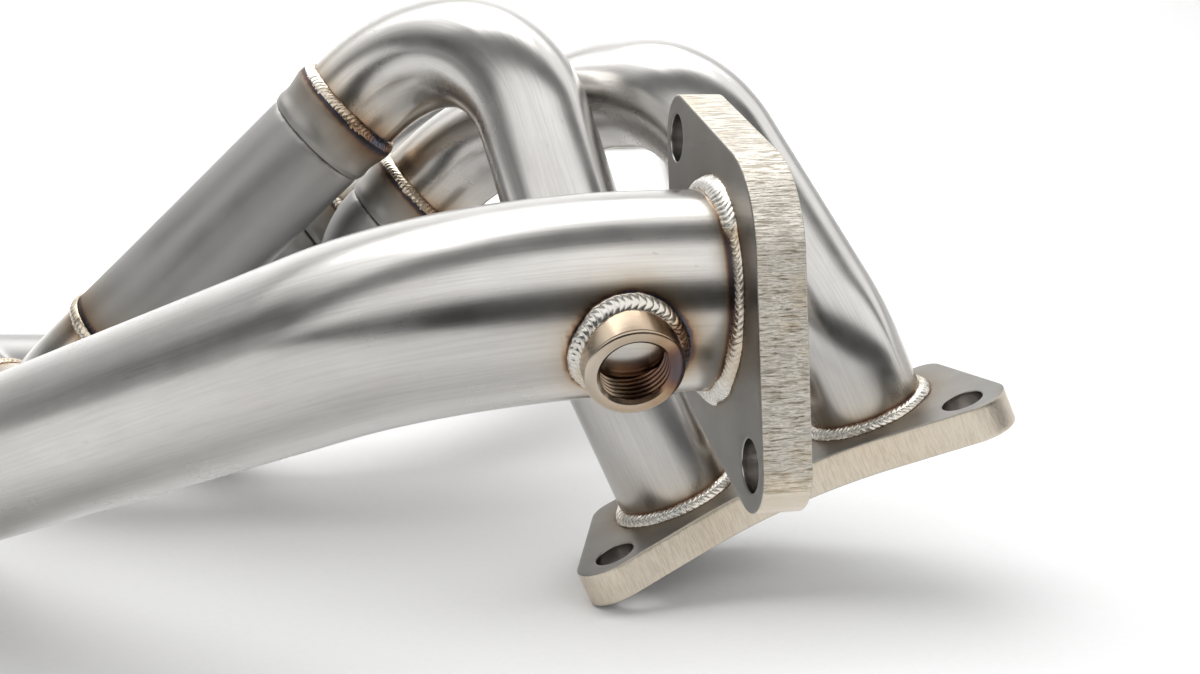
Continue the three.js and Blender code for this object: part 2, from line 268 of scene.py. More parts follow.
def bead_mesh(weld, sections=14):
    """A bead of overlapping puddles along the weld's line."""
    run = Vector((weld.end[0] - weld.start[0], weld.end[1] - weld.start[1])).normalized()
    points, temper = [], []
    count = len(weld.frames)
    places = [f[0] for f in weld.frames]
    length = sum((places[i] - places[i - 1]).length for i in range(count))
    puddles = round(length / weld.pitch)
    for i, (place, out, up) in enumerate(weld.frames):
        turn = i / count
        size = weld.scale(turn) * (1 + 0.07 * wobble(turn * 40, weld.seed))
        for j in range(sections + 1):
            t = j / sections
            bulge = math.sin(math.pi * t) ** 0.8
            x = (weld.start[0] * (1 - t) + weld.end[0] * t) * size
            y = (weld.start[1] * (1 - t) + weld.end[1] * t) * size
            bow = PUDDLE_BOW * math.sin(math.pi * t)
            phase = (turn * puddles + bow + 0.15 * wobble(turn * 60, weld.seed + 2)) % 1
            ripple = 0.4 - abs(2 * phase - 1) ** 2.6
            lift = weld.crown * size * bulge + RIPPLE * ripple * (0.2 + 0.8 * bulge) * min(1, size)
            x += run.y * lift
            y -= run.x * lift
            points.append(place + out * x + up * y)
            temper.append(weld.temper(turn) + 0.12 * (1 - bulge))
        points.append(place - (out + up) * 0.25)
        temper.append(0)
    return points, grid_faces(count, sections + 2, True, True), temper


def grid_faces(rows, columns, close_rows, close_columns):
    faces = []
    for i in range(rows if close_rows else rows - 1):
        for j in range(columns if close_columns else columns - 1):
            a, b = i * columns + j, i * columns + (j + 1) % columns
            c, d = ((i + 1) % rows) * columns + (j + 1) % columns, ((i + 1) % rows) * columns + j
            faces.append((a, d, c, b))
    return faces


def step(turn, *stops):
    """The value at a part of a turn, drawn smoothly through (turn, value) stops."""
    for (t0, v0), (t1, v1) in zip(stops, stops[1:]):
        if turn <= t1:
            s = min(1, max(0, (turn - t0) / (t1 - t0)))
            s = s * s * (3 - 2 * s)
            return v0 + (v1 - v0) * s
    return stops[-1][1]


def steps(*stops):
    """A function of the turn that passes smoothly through its stops."""
    return lambda turn: step(turn, *stops)


def waves(middle, swing, count, seed):
    """A function of the turn that waves about a middle value."""
    return lambda turn: middle + swing * wobble(turn * count, seed)


def collar_temper(seed):
    """Clean metal at the top, through gold and orange to blue on the way down the side at -Y."""
    down = steps((0, 0.06), (0.12, 0.12), (0.25, 0.32), (0.33, 0.55), (0.4, 0.85), (0.5, 0.5), (1, 0.06))
    return lambda turn: 0.07 * wobble(turn * 9, seed) + down(turn)


def make_welds():
    welds = {}

    def add(name, *args, **kwargs):
        welds[name] = Weld(name, *args, seed=1.7 * len(welds), **kwargs)

    for i, name in enumerate(PRIMARIES):
        add(
            f"head_weld_{name}",
            ring_frames(port(name), HEAD_UP, PRIMARY_OD / 2, -X),
            (3.3, -0.1), (-0.1, 3.0), 0.7,
            pitch=1.9, heat=0.42, width=6,
            scale=waves(1, 0.15, 11, i),
            temper=waves(0.10, 0.10, 8, i + 3),
        )
        end, direction = primary_end(name)
        add(
            f"collar_weld_{name}",
            ring_frames(end, -direction, PRIMARY_OD / 2, Z),
            (2.2, -2.0), (-0.1, 3.5), 1.05,
            pitch=1.8, heat=0.6, width=8,
            temper=collar_temper(i),
            around=steps((0, 0.5), (0.2, 0.6), (0.38, 1.1), (0.55, 0.9), (1, 0.5)),
        )
    for name, collector in COLLECTORS.items():
        add(
            f"collector_weld_{name}",
            ring_frames(collector["outlet"], collector["flow"], SECONDARY_OD / 2, Z),
            (1.0, -1.4), (-0.1, 4.2), 1.3,
            pitch=2.4, heat=0.55, width=9,
            temper=waves(0.2, 0.1, 6, 1),
        )
        add(
            f"secondary_weld_{name}",
            ring_frames(final_inlet(name), -RUN, SECONDARY_OD / 2, Z),
            (1.0, -1.4), (-0.1, 4.0), 1.2,
            pitch=2.3, heat=0.55, width=9,
            temper=waves(0.25, 0.1, 6, 2),
        )
    seams = {"final_weld": on_run(FINAL_OUTLET, RETURN_OFFSET), "return_weld": on_run(RUN_END)}
    for name, place in seams.items():
        add(
            name,
            ring_frames(place, RUN, OUTLET_OD / 2, Z),
            (-0.1, -3.2), (-0.1, 3.2), 1.1,
            pitch=2.3, heat=0.5, width=9,
            temper=waves(0.25, 0.1, 6, 4),
        )
    # Round the outlet tube, turns count from the top towards the far side.
    add(
        "outlet_weld",
        ring_frames(Vector((-PLATE, 0, 0)), -X, OUTLET_OD / 2, Z, 900),
        (3.1, -0.1), (-0.1, 2.7), 0.55,
        pitch=1.6, heat=0.28, width=3,
        scale=steps(
            (0, 1.2), (0.5, 1.15), (0.535, 1.3), (0.55, 1.0), (0.6, 1.15), (0.63, 0.95), (0.7, 0.95),
            (0.735, 0.68), (0.85, 0.66), (0.875, 1.0), (0.95, 1.25), (1, 1.2),
        ),
        temper=steps(
            (0, 0.03), (0.5, 0.03), (0.61, 0.04), (0.63, 0.2), (0.7, 0.22), (0.74, 0.14), (0.8, 0.14),
            (0.86, 0.34), (0.875, 0.05), (1, 0.03),
        ),
    )
    # Round the bung, turns count from its +X side over its upper side.
    add(
        "bung_weld",
        saddle_frames(),
        (2.7, -0.1), (-0.2, 2.1), 0.65,
        pitch=1.45, heat=0.5, width=4.5,
        scale=waves(1, 0.08, 11, 5),
        temper=steps(
            (0, 0.72), (0.05, 0.5), (0.09, 0.62), (0.13, 0.26), (0.18, 0.12), (0.3, 0.04), (0.5, 0.06),
            (0.56, 0.2), (0.75, 0.15), (0.88, 0.4), (0.94, 0.85), (1, 0.72),
        ),
        around=steps((0, 1.3), (0.2, 1.25), (0.32, 0.9), (0.5, 0.75), (0.8, 0.9), (1, 1.3)),
    )
    return welds


WELDS = make_welds()
HEAT_STRIDE, HEAT_BATCH = 12, 20000  # frames from one sample of a weld to the next, points at a time
BEAD_REACH = 2.6  # how far a bead's toe is from its line
TOE_SHADE, TOE_SHADE_WIDTH = 0.5, 0.7  # painted shade: a dark line along each toe, where the bead meets the metal beside it


def heat_and_shade_at(points):
    """How hot the welds left each point, plus the painted shade along each bead's toe, from 0 to 1, for an
    array of places in millimetres.
    """
    heat = np.zeros(len(points))
    for weld in WELDS.values():
        line = np.array([f[0] for f in weld.frames[::HEAT_STRIDE]])
        around = np.array([weld.around(HEAT_STRIDE * i / len(weld.frames)) for i in range(len(line))])
        middle = line.mean(0)
        reach = np.linalg.norm(line - middle, axis=1).max() + 6 * weld.width
        close = np.nonzero(np.linalg.norm(points - middle, axis=1) < reach)[0]
        for part in np.array_split(close, len(close) // HEAT_BATCH + 1):
            gap = np.linalg.norm(points[part, None, :] - line[None, :, :], axis=2)
            nearest = gap.argmin(1)
            distance = np.maximum(gap.min(1) - BEAD_REACH, 0)
            tint_and_shade = weld.heat * around[nearest] * np.exp(-distance / weld.width)
            # painted shade: a dark line just off each bead's toe, in the crease where the bead meets the
            # metal
            tint_and_shade += TOE_SHADE * np.exp(-((distance / TOE_SHADE_WIDTH) ** 2))
            heat[part] = np.maximum(heat[part], tint_and_shade)
    return heat


# ------------------------------------------------------------------ meshes
def new_object(name, points, faces, material, matrix=None, **attributes):
    """A smooth-shaded object from places in millimetres, with its weld oxide and painted toe shade and any
    other attributes.
    """
    mesh = bpy.data.meshes.new(name)
    if matrix is None:
        shown = [ORIGIN + p * MM for p in points]
        design = np.array([tuple(p) for p in points])
    else:
        shown = [p * MM for p in points]
        design = np.array([tuple(matrix @ p) for p in points])
    mesh.from_pydata(shown, [], faces)
    mesh.update()
    mesh.shade_smooth()
    # weld oxide, with the painted shade along each bead's toe
    attributes.setdefault("oxide", heat_and_shade_at(design))
    for key, values in attributes.items():
        flat = np.array([tuple(v) if hasattr(v, "__len__") else v for v in values], np.float32)
        kind = "FLOAT_VECTOR" if flat.ndim > 1 else "FLOAT"
        layer = mesh.attributes.new(key, kind, "POINT")
        layer.data.foreach_set("vector" if flat.ndim > 1 else "value", flat.ravel())
    piece = bpy.data.objects.new(name, mesh)
    bpy.context.scene.collection.objects.link(piece)
    if matrix is not None:
        placed = matrix.copy()
        placed.translation = ORIGIN + matrix.translation * MM
        piece.matrix_world = placed
    mesh.materials.append(material)
    return piece


def stations(corners, bend, spacing=3.0):
    """Places, directions and distances along straights that arcs of one radius join."""
    track = []

    def straight(start, end):
        count = max(1, math.ceil((end - start).length / spacing))
        direction = (end - start).normalized()
        track.extend((start.lerp(end, i / count), direction) for i in range(count))

    cursor = corners[0]
    for before, corner, after in zip(corners, corners[1:], corners[2:]):
        into, out = (corner - before).normalized(), (after - corner).normalized()
        turn = into.angle(out)
        if turn < 0.01:
            continue
        setback = bend * math.tan(turn / 2)
        start = corner - into * setback
        straight(cursor, start)
        axis = into.cross(out).normalized()
        centre = start + axis.cross(into) * bend
        count = math.ceil(bend * turn / spacing)
        for i in range(count):
            swing = Quaternion(axis, turn * i / count)
            track.append((centre + swing @ (start - centre), swing @ into))
        cursor = corner + out * setback
    straight(cursor, corners[-1])
    track.append((corners[-1], (corners[-1] - corners[-2]).normalized()))
    distances = [0.0]
    for (a, _), (b, _) in zip(track, track[1:]):
        distances.append(distances[-1] + (b - a).length)
    return [(p, d, s) for (p, d), s in zip(track, distances)]


def sections_along(track, zero=Z):
    """Each station with two directions across it that don't twist along the run."""
    first = track[0][1]
    side = (zero - first * zero.dot(first)).normalized()
    result = []
    for place, direction, distance in track:
        side = (side - direction * side.dot(direction)).normalized()
        result.append((place, side, direction.cross(side), distance))
    return result


def swept(corners, bend, outer, inner, sides=72, spacing=3.0):
    """Points, faces and run coordinates of a tube whose radii are functions of the distance."""
    track = sections_along(stations(corners, bend, spacing))
    points, run = [], []
    for radius_at in (outer, inner):
        for place, side, other, distance in track:
            radius = radius_at(distance)
            for k in range(sides):
                angle = 2 * math.pi * k / sides
                c, s = math.cos(angle), math.sin(angle)
                points.append(place + side * (radius * c) + other * (radius * s))
                run.append((distance * MM, radius * c * MM, radius * s * MM))
    rows = len(track)
    outside = grid_faces(rows, sides, False, True)
    shift = rows * sides
    inside = [tuple(i + shift for i in reversed(face)) for face in outside]
    ends = []
    for base, flip in ((0, False), ((rows - 1) * sides, True)):
        for k in range(sides):
            face = (base + k, base + (k + 1) % sides, base + shift + (k + 1) % sides, base + shift + k)
            ends.append(face if not flip else tuple(reversed(face)))
    return points, outside + inside + ends, run


def tube(name, corners, od, bend, material, sides=84, spacing=2.2):
    points, faces, run = swept(corners, bend, lambda s: od / 2, lambda s: od / 2 - WALL, sides, spacing)
    piece = new_object(name, points, faces, material, run=run)
    mark_sharp(piece)
    return piece


def mark_sharp(piece, angle=math.radians(40)):
    mesh = piece.data
    work = bmesh.new()
    work.from_mesh(mesh)
    for edge in work.edges:
        if len(edge.link_faces) == 2 and edge.calc_face_angle(0) > angle:
            edge.smooth = False
    work.to_mesh(mesh)
    work.free()


def collar(name, primary, material):
    """A short sleeve, swaged out at the weld and rolled in where it meets the collector."""
    end, direction = primary_end(primary)

    def outer(s):
        flare = 0.9 * math.exp(-(((s - 2.5) / 3.5) ** 2))
        waist = -0.5 * math.exp(-(((s - 11) / 3) ** 2))
        roll = 0.7 * math.exp(-(((s - COLLAR_LENGTH) / 1.6) ** 2))
        return COLLAR_OD / 2 + flare + waist - roll

    route = [end, end + direction * COLLAR_LENGTH]
    points, faces, run = swept(route, 0, outer, lambda s: COLLAR_BORE / 2, 96, 0.5)
    piece = new_object(name, points, faces, material, run=run)
    mark_sharp(piece)
    return piece


def merged_body(name, runs, material, voxel=1.3, passes=12):
    """One skin round several overlapping solid runs, softened where they meet."""
    points, faces = [], []
    for corners, bend, radius in runs:
        p, f, _ = swept(corners, bend, lambda s: radius, lambda s: 0.5, 64, 2.5)
        faces += [tuple(i + len(points) for i in face) for face in f]
        points += p
    rough = bpy.data.meshes.new(name)
    rough.from_pydata([p * MM for p in points], [], faces)
    holder = bpy.data.objects.new(name, rough)
    bpy.context.scene.collection.objects.link(holder)
    remesh = holder.modifiers.new("skin", "REMESH")
    remesh.mode = "VOXEL"
    remesh.voxel_size = voxel * MM
    soften = holder.modifiers.new("soften", "SMOOTH")
    soften.factor = 0.5
    soften.iterations = passes
    ready = holder.evaluated_get(bpy.context.evaluated_depsgraph_get()).to_mesh()
    skin = [v.co / MM for v in ready.vertices]
    polygons = [tuple(p.vertices) for p in ready.polygons]
    bpy.data.objects.remove(holder)
    piece = new_object(name, skin, polygons, material, run=[p * MM for p in skin])
    return piece


def rounded_outline(corners, spacing=0.8):
    """Points of a closed outline whose corners are rounded by arcs of their own radii."""
    outline = []
    for i, (x, y, radius) in enumerate(corners):
        corner = Vector((x, y))
        before = (Vector(corners[i - 1][:2]) - corner).normalized()
        after = (Vector(corners[(i + 1) % len(corners)][:2]) - corner).normalized()
        half = before.angle(after) / 2
        centre = corner + (before + after).normalized() * (radius / math.sin(half))
        first = corner + before * (radius / math.tan(half)) - centre
        last = corner + after * (radius / math.tan(half)) - centre
        turn = first.angle_signed(last)
        count = max(4, math.ceil(abs(turn) * radius / spacing))
        start = math.atan2(first.y, first.x)
        for k in range(count + 1):
            angle = start - turn * k / count
            outline.append(centre + Vector((math.cos(angle), math.sin(angle))) * radius)
    return outline


def circle(x, y, radius, count=72):
    angles = (2 * math.pi * k / count for k in range(count))
    return [Vector((x + radius * math.cos(a), y + radius * math.sin(a))) for a in angles]


def plate(name, outline, holes, cut, matrix, material, edge=0.45, longest=2.4):
    """A flange from its outline and holes, with its mating face at -PLATE and softened edges.

    cut(y) is how rough the outline's edge is at a height y. The holes are bored, so they are smooth.
    """
    curve = bpy.data.curves.new(name, "CURVE")
    curve.dimensions = "2D"
    curve.fill_mode = "BOTH"
    curve.extrude = (PLATE / 2 - edge) * MM
    curve.bevel_depth = edge * MM
    curve.bevel_resolution = 3
    curve.offset = -edge * MM
    for ring in (outline, *holes):
        spline = curve.splines.new("POLY")
        spline.points.add(len(ring) - 1)
        spline.points.foreach_set("co", [c for p in ring for c in (p.x * MM, p.y * MM, 0, 1)])
        spline.use_cyclic_u = True
    holder = bpy.data.objects.new(name, curve)
    bpy.context.scene.collection.objects.link(holder)
    made = holder.evaluated_get(bpy.context.evaluated_depsgraph_get()).to_mesh()
    work = bmesh.new()
    work.from_mesh(made)
    bmesh.ops.remove_doubles(work, verts=work.verts, dist=1e-6)
    flat = [f for f in work.faces if abs(f.normal.z) > 0.99]
    bmesh.ops.triangulate(work, faces=flat)
    for _ in range(6):
        long = [e for e in work.edges if e.calc_length() > longest * MM]
        if not long:
            break
        bmesh.ops.subdivide_edges(work, edges=long, cuts=1)
        bmesh.ops.triangulate(work, faces=[f for f in work.faces if len(f.verts) > 4])
    bmesh.ops.recalc_face_normals(work, faces=work.faces)
    work.verts.ensure_lookup_table()
    points = [Vector((v.co.x / MM, v.co.y / MM, v.co.z / MM - PLATE / 2)) for v in work.verts]
    faces = [tuple(v.index for v in f.verts) for f in work.faces]
    work.free()
    bpy.data.objects.remove(holder)
    bores = []
    for ring in holes:
        across = ring[0] - ring[len(ring) // 2]
        bores.append((sum(ring, Vector((0, 0))) / len(ring), across.length / 2 + 1.5))

    def rough(place):
        bored = any((place.xy - centre).length < reach for centre, reach in bores)
        return 0 if bored else cut(place.y)

    piece = new_object(name, points, faces, material, matrix, cut=[rough(p) for p in points])
    mark_sharp(piece, math.radians(30))
    return piece


def head_flange(bank, material):
    line, inward = BANKS[bank]
    corners = [(x, inward * y, radius) for x, y, radius in HEAD_OUTLINE]
    holes = []
    for side in ENDS.values():
        holes.append(circle(side * PORT_PITCH / 2, inward * PORT_INSET, PRIMARY_OD / 2 - WALL))
        holes.append(circle(side * BOLT_PITCH / 2, 0, HEAD_BOLT_RADIUS, 48))
    holes.append(circle(0, inward * MIDDLE_BOLT_INSET, HEAD_BOLT_RADIUS, 48))
    turn = Matrix((HEAD_ALONG, HEAD_INWARD, HEAD_UP)).transposed().to_4x4()
    turn.translation = on_head(bank, 0, 0)
    name, outline = f"head_flange_{bank}_look", rounded_outline(corners)
    return plate(name, outline, holes, lambda y: SAWN, turn, material)


def outlet_flange(material):
    holes = [circle(0, 0, OUTLET_OD / 2 - WALL, 96)]
    for side in (-1, 1):
        holes.append(circle(side * OUTLET_BOLT[0], side * OUTLET_BOLT[1], OUTLET_BOLT_RADIUS, 48))
    # Local x and y are the part's y and z; local z is +X, and the mating face is the far one.
    turn = Matrix(((0, 0, 1), (1, 0, 0), (0, 1, 0))).to_4x4()

    def cut(y):
        return WATER_CUT if y > OUTLET_GROUND else GROUND

    return plate("outlet_flange_look", rounded_outline(OUTLET_OUTLINE), holes, cut, turn, material)


def lathe(name, profile, base, axis, material, oxide, sides=144):
    """A closed ring turned from a profile of (radius, height), with its oxide by radius and angle."""
    side = (Z - axis * Z.dot(axis)).normalized()
    other = axis.cross(side)
    points, run, tint = [], [], []
    for k in range(sides):
        angle = 2 * math.pi * k / sides
        out = side * math.cos(angle) + other * math.sin(angle)
        for radius, height in profile:
            points.append(base + axis * height + out * radius)
            run.append((height * MM, radius * math.cos(angle) * MM, radius * math.sin(angle) * MM))
            tint.append(oxide(k / sides, radius, height))
    faces = grid_faces(sides, len(profile), True, True)
    piece = new_object(name, points, faces, material, run=run, oxide=tint)
    mark_sharp(piece)
    return piece


def bung_oxide(turn, radius, height):
    """The bung's oxide, by the part of a turn from its top towards -X, its radius and its height."""
    in_bore = radius < BUNG_BORE / 2 + THREAD_DEPTH + 0.05 and height < BUNG_REACH - 0.5
    if in_bore:
        return step(turn, (0, 0.45), (0.25, 0.3), (0.42, 0.36), (0.55, 0.6), (0.75, 0.72), (1, 0.45))
    ring = step(
        turn,
        (0, 0.3), (0.25, 0.2), (0.5, 0.32), (0.62, 0.46), (0.74, 0.8), (0.82, 0.7), (0.9, 0.45), (1, 0.3),
    )
    barrel = step(turn, (0, 0.4), (0.25, 0.3), (0.6, 0.42), (0.78, 0.62), (1, 0.4))
    blend = min(1, max(0, (BUNG_REACH - height) / 3))
    return ring * (1 - blend) + barrel * blend


def bung(material):
    """The bung's barrel, with a chamfered mouth and a threaded bore."""
    bore, outer = BUNG_BORE / 2, BUNG_OD / 2
    profile = [
        (outer, BUNG_ROOT),
        (outer, BUNG_REACH - 0.9),
        (outer - 0.25, BUNG_REACH - 0.35),
        (outer - 0.9, BUNG_REACH),
        (bore + BUNG_CHAMFER + 0.15, BUNG_REACH),
        (bore + BUNG_CHAMFER, BUNG_REACH - 0.1),
    ]
    for turn in range(THREAD_TURNS):
        crest = BUNG_REACH - BUNG_CHAMFER - turn * THREAD_PITCH
        for part, depth in THREAD_FORM:
            profile.append((bore + depth * THREAD_DEPTH, crest - part * THREAD_PITCH))
    profile.append((bore + 0.4, BUNG_ROOT))
    return lathe("sensor_bung_look", profile, BUNG_BASE, BUNG_AXIS, material, bung_oxide)


# ------------------------------------------------------------------ materials
class Nodes:
    """A node tree, built by calls that return sockets."""

    def __init__(self, tree):
        self.tree = tree

    def node(self, kind, inputs=(), output=0, **settings):
        made = self.tree.nodes.new(kind)
        for key, value in settings.items():
            setattr(made, key, value)
        for key, value in dict(inputs).items():
            self.put(made.inputs[key], value)
        return made.outputs[output]

    def put(self, socket, value):
        if isinstance(value, bpy.types.NodeSocket):
            self.tree.links.new(value, socket)
        else:
            socket.default_value = value

    def attribute(self, name, output="Fac"):
        return self.node("ShaderNodeAttribute", output=output, attribute_name=name)

    def math(self, operation, a, b=0.0, clamp=False):
        return self.node("ShaderNodeMath", {0: a, 1: b}, operation=operation, use_clamp=clamp)

    def noise(self, vector, scale, detail=3.0, roughness=0.5):
        inputs = {"Vector": vector, "Scale": scale, "Detail": detail, "Roughness": roughness}
        return self.node("ShaderNodeTexNoise", inputs, output="Fac")

    def stretched(self, vector, scale):
        return self.node("ShaderNodeMapping", {"Vector": vector, "Scale": scale})

    def ramp(self, value, *stops):
        made = self.tree.nodes.new("ShaderNodeValToRGB")
        elements = made.color_ramp.elements
        elements[0].position, elements[1].position = stops[0][0], stops[-1][0]
        for place, _ in stops[1:-1]:
            elements.new(place)
        for element, (_, colour) in zip(elements, stops):
            element.color = (*colour, 1) if hasattr(colour, "__len__") else (colour, colour, colour, 1)
        self.put(made.inputs[0], value)
        return made.outputs[0]

    def mix(self, factor, a, b, blend="MIX"):
        made = self.tree.nodes.new("ShaderNodeMix")
        made.data_type = "RGBA"
        made.blend_type = blend
        self.put(made.inputs[0], factor)
        self.put(made.inputs[6], (*a, 1) if isinstance(a, tuple) else a)
        self.put(made.inputs[7], (*b, 1) if isinstance(b, tuple) else b)
        return made.outputs[2]

    def bump(self, height, distance, strength):
        return self.node("ShaderNodeBump", {"Height": height, "Distance": distance, "Strength": strength})


class Shader(Nodes):
    """A material's nodes, with its surface."""

    def __init__(self, name):
        self.material = bpy.data.materials.new(name)
        self.material.use_nodes = True
        super().__init__(self.material.node_tree)
        self.surface = self.tree.nodes["Principled BSDF"]

    def set(self, **values):
        for key, value in values.items():
            self.put(self.surface.inputs[key.replace("_", " ")], value)


# Oxide colours, from clean metal to the hottest. The darkest end also colours the painted shade along each
# bead's toe.
TEMPER_AND_SHADE = (
    (0.0, (1.0, 1.0, 1.0)),
    (0.14, (0.98, 0.94, 0.88)),
    (0.30, (0.86, 0.75, 0.62)),
    (0.45, (0.68, 0.50, 0.35)),
    (0.58, (0.44, 0.27, 0.18)),
    (0.70, (0.26, 0.17, 0.16)),
    (0.85, (0.17, 0.18, 0.24)),
    (1.0, (0.10, 0.09, 0.09)),
)


def tempered(shader, colour, place, spread=0.4):
    """colour seen through the oxide that the welds' heat left, and darkened by the painted shade along each
    bead's toe.
    """
    patches = shader.noise(place, 90, 4, 0.6)
    uneven = shader.math("MULTIPLY", shader.math("SUBTRACT", patches, 0.5), spread)
    # oxide, with the painted shade along the beads' toes
    oxide = shader.attribute("oxide")
    amount = shader.math("MULTIPLY", shader.math("ADD", uneven, 1.0), oxide, clamp=True)
    return shader.mix(1.0, colour, shader.ramp(amount, *TEMPER_AND_SHADE), "MULTIPLY")


def tube_steel():
    """Drawn tube: satin, with fine lines along it, soft mottling and a few specks."""
    shader = Shader("tube_steel")
    run = shader.attribute("run", "Vector")
    drawn = shader.noise(shader.stretched(run, (0.03, 1, 1)), 1300, 2, 0.6)
    mottle = shader.noise(shader.stretched(run, (0.4, 1, 1)), 55, 5, 0.65)
    cloud = shader.noise(run, 22, 4, 0.6)
    grit = shader.noise(shader.stretched(run, (0.5, 1, 1)), 650, 2, 0.6)
    colour = shader.mix(mottle, (0.47, 0.45, 0.425), (0.70, 0.69, 0.675))
    colour = shader.mix(shader.ramp(drawn, (0.3, 0.16), (0.6, 0.0)), colour, (0.25, 0.235, 0.22))
    colour = shader.mix(shader.ramp(grit, (0.70, 0.0), (0.78, 0.35)), colour, (0.22, 0.20, 0.18))
    rough = shader.ramp(cloud, (0.35, 0.15), (0.65, 0.26))
    rough = shader.math("ADD", rough, shader.math("MULTIPLY", mottle, 0.06))
    shader.set(
        Base_Color=tempered(shader, colour, run),
        Metallic=1.0,
        Roughness=rough,
        Normal=shader.bump(drawn, 0.00003, 0.15),
    )
    return shader.material


def formed_steel():
    """Pressed sheet: dull, with a soft orange-peel surface."""
    shader = Shader("formed_steel")
    run = shader.attribute("run", "Vector")
    peel = shader.noise(run, 900, 3, 0.6)
    cloud = shader.noise(run, 35, 3, 0.5)
    colour = shader.mix(cloud, (0.33, 0.325, 0.32), (0.46, 0.455, 0.45))
    shader.set(
        Base_Color=tempered(shader, colour, run),
        Metallic=1.0,
        Roughness=shader.ramp(cloud, (0.3, 0.42), (0.7, 0.55)),
        Normal=shader.bump(peel, 0.00008, 0.4),
    )
    return shader.material


def weld_metal():
    """Bright ripples with an oxide that changes round each bead."""
    shader = Shader("weld_metal")
    place = shader.node("ShaderNodeTexCoord", output="Object")
    grain = shader.noise(place, 1400, 3, 0.6)
    colour = shader.mix(shader.noise(place, 180, 3, 0.5), (0.62, 0.60, 0.56), (0.78, 0.77, 0.74))
    shader.set(
        Base_Color=tempered(shader, colour, place, 0.7),
        Metallic=1.0,
        Roughness=shader.ramp(grain, (0.3, 0.2), (0.7, 0.34)),
        Normal=shader.bump(grain, 0.00005, 0.3),
    )
    return shader.material


def plate_steel():
    """Rolled plate with ground faces. Its edge is striated through its thickness where it is rough."""
    shader = Shader("plate_steel")
    place = shader.node("ShaderNodeTexCoord", output="Object")
    world = shader.node("ShaderNodeNewGeometry", output="Normal")
    normal = shader.node(
        "ShaderNodeVectorTransform", {0: world},
        vector_type="NORMAL", convert_from="WORLD", convert_to="OBJECT",
    )
    facing = shader.math("ABSOLUTE", shader.node("ShaderNodeSeparateXYZ", {0: normal}, output=2))
    edge = shader.ramp(facing, (0.35, 1.0), (0.75, 0.0))
    cut = shader.ramp(shader.attribute("cut"), (0.1, 0.0), (0.3, 0.22), (0.45, 0.22), (0.55, 1.0))
    lines = shader.noise(shader.stretched(place, (1, 1, 0.09)), 2000, 2, 0.6)
    grit = shader.noise(shader.stretched(place, (1, 1, 0.3)), 3000, 2, 0.6)
    ground = shader.noise(shader.stretched(place, (0.05, 1, 1)), 1500, 3, 0.6)
    patches = shader.noise(place, 60, 4, 0.6)
    face = shader.mix(patches, (0.20, 0.19, 0.175), (0.33, 0.32, 0.30))
    face = shader.mix(shader.ramp(ground, (0.35, 0.3), (0.6, 0.0)), face, (0.13, 0.125, 0.12))
    ripple = shader.math("ADD", shader.math("MULTIPLY", lines, 0.75), shader.math("MULTIPLY", grit, 0.25))
    grooves = shader.ramp(ripple, (0.39, 0.0), (0.56, 1.0))
    satin = shader.mix(patches, (0.60, 0.50, 0.37), (0.76, 0.70, 0.61))
    striped = shader.mix(grooves, (0.40, 0.35, 0.28), (0.89, 0.845, 0.76))
    striped = shader.mix(shader.ramp(patches, (0.52, 0.0), (0.72, 0.5)), striped, (0.62, 0.47, 0.27))
    wall = shader.mix(cut, satin, striped)
    bored = shader.ramp(shader.attribute("cut"), (0.0, 1.0), (0.2, 0.0))
    wall = shader.mix(bored, wall, (0.42, 0.40, 0.38))
    colour = shader.mix(edge, face, wall)
    face_rough = shader.ramp(ground, (0.3, 0.32), (0.7, 0.44))
    rough = shader.mix(edge, face_rough, shader.ramp(cut, (0.0, 0.24), (1.0, 0.40)))
    height = shader.mix(edge, shader.math("MULTIPLY", ground, 0.12), shader.math("MULTIPLY", grooves, cut))
    shader.set(
        Base_Color=tempered(shader, colour, place),
        Metallic=1.0,
        Roughness=rough,
        Normal=shader.bump(height, 0.00022, 0.8),
    )
    return shader.material


def bung_steel():
    """Turned steel, bronzed all over by the weld beside it."""
    shader = Shader("bung_steel")
    run = shader.attribute("run", "Vector")
    turned = shader.noise(shader.stretched(run, (1, 0.02, 0.02)), 3000, 2, 0.6)
    patches = shader.noise(run, 120, 3, 0.6)
    colour = shader.mix(patches, (0.52, 0.485, 0.44), (0.64, 0.605, 0.56))
    shader.set(
        Base_Color=tempered(shader, colour, run, 0.5),
        Metallic=1.0,
        Roughness=shader.ramp(patches, (0.3, 0.16), (0.7, 0.28)),
        Normal=shader.bump(turned, 0.00003, 0.25),
    )
    return shader.material


# ------------------------------------------------------------------ the pieces
def show(piece, slot_name, *nodes):
    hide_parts(*nodes)
    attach(piece, "root")


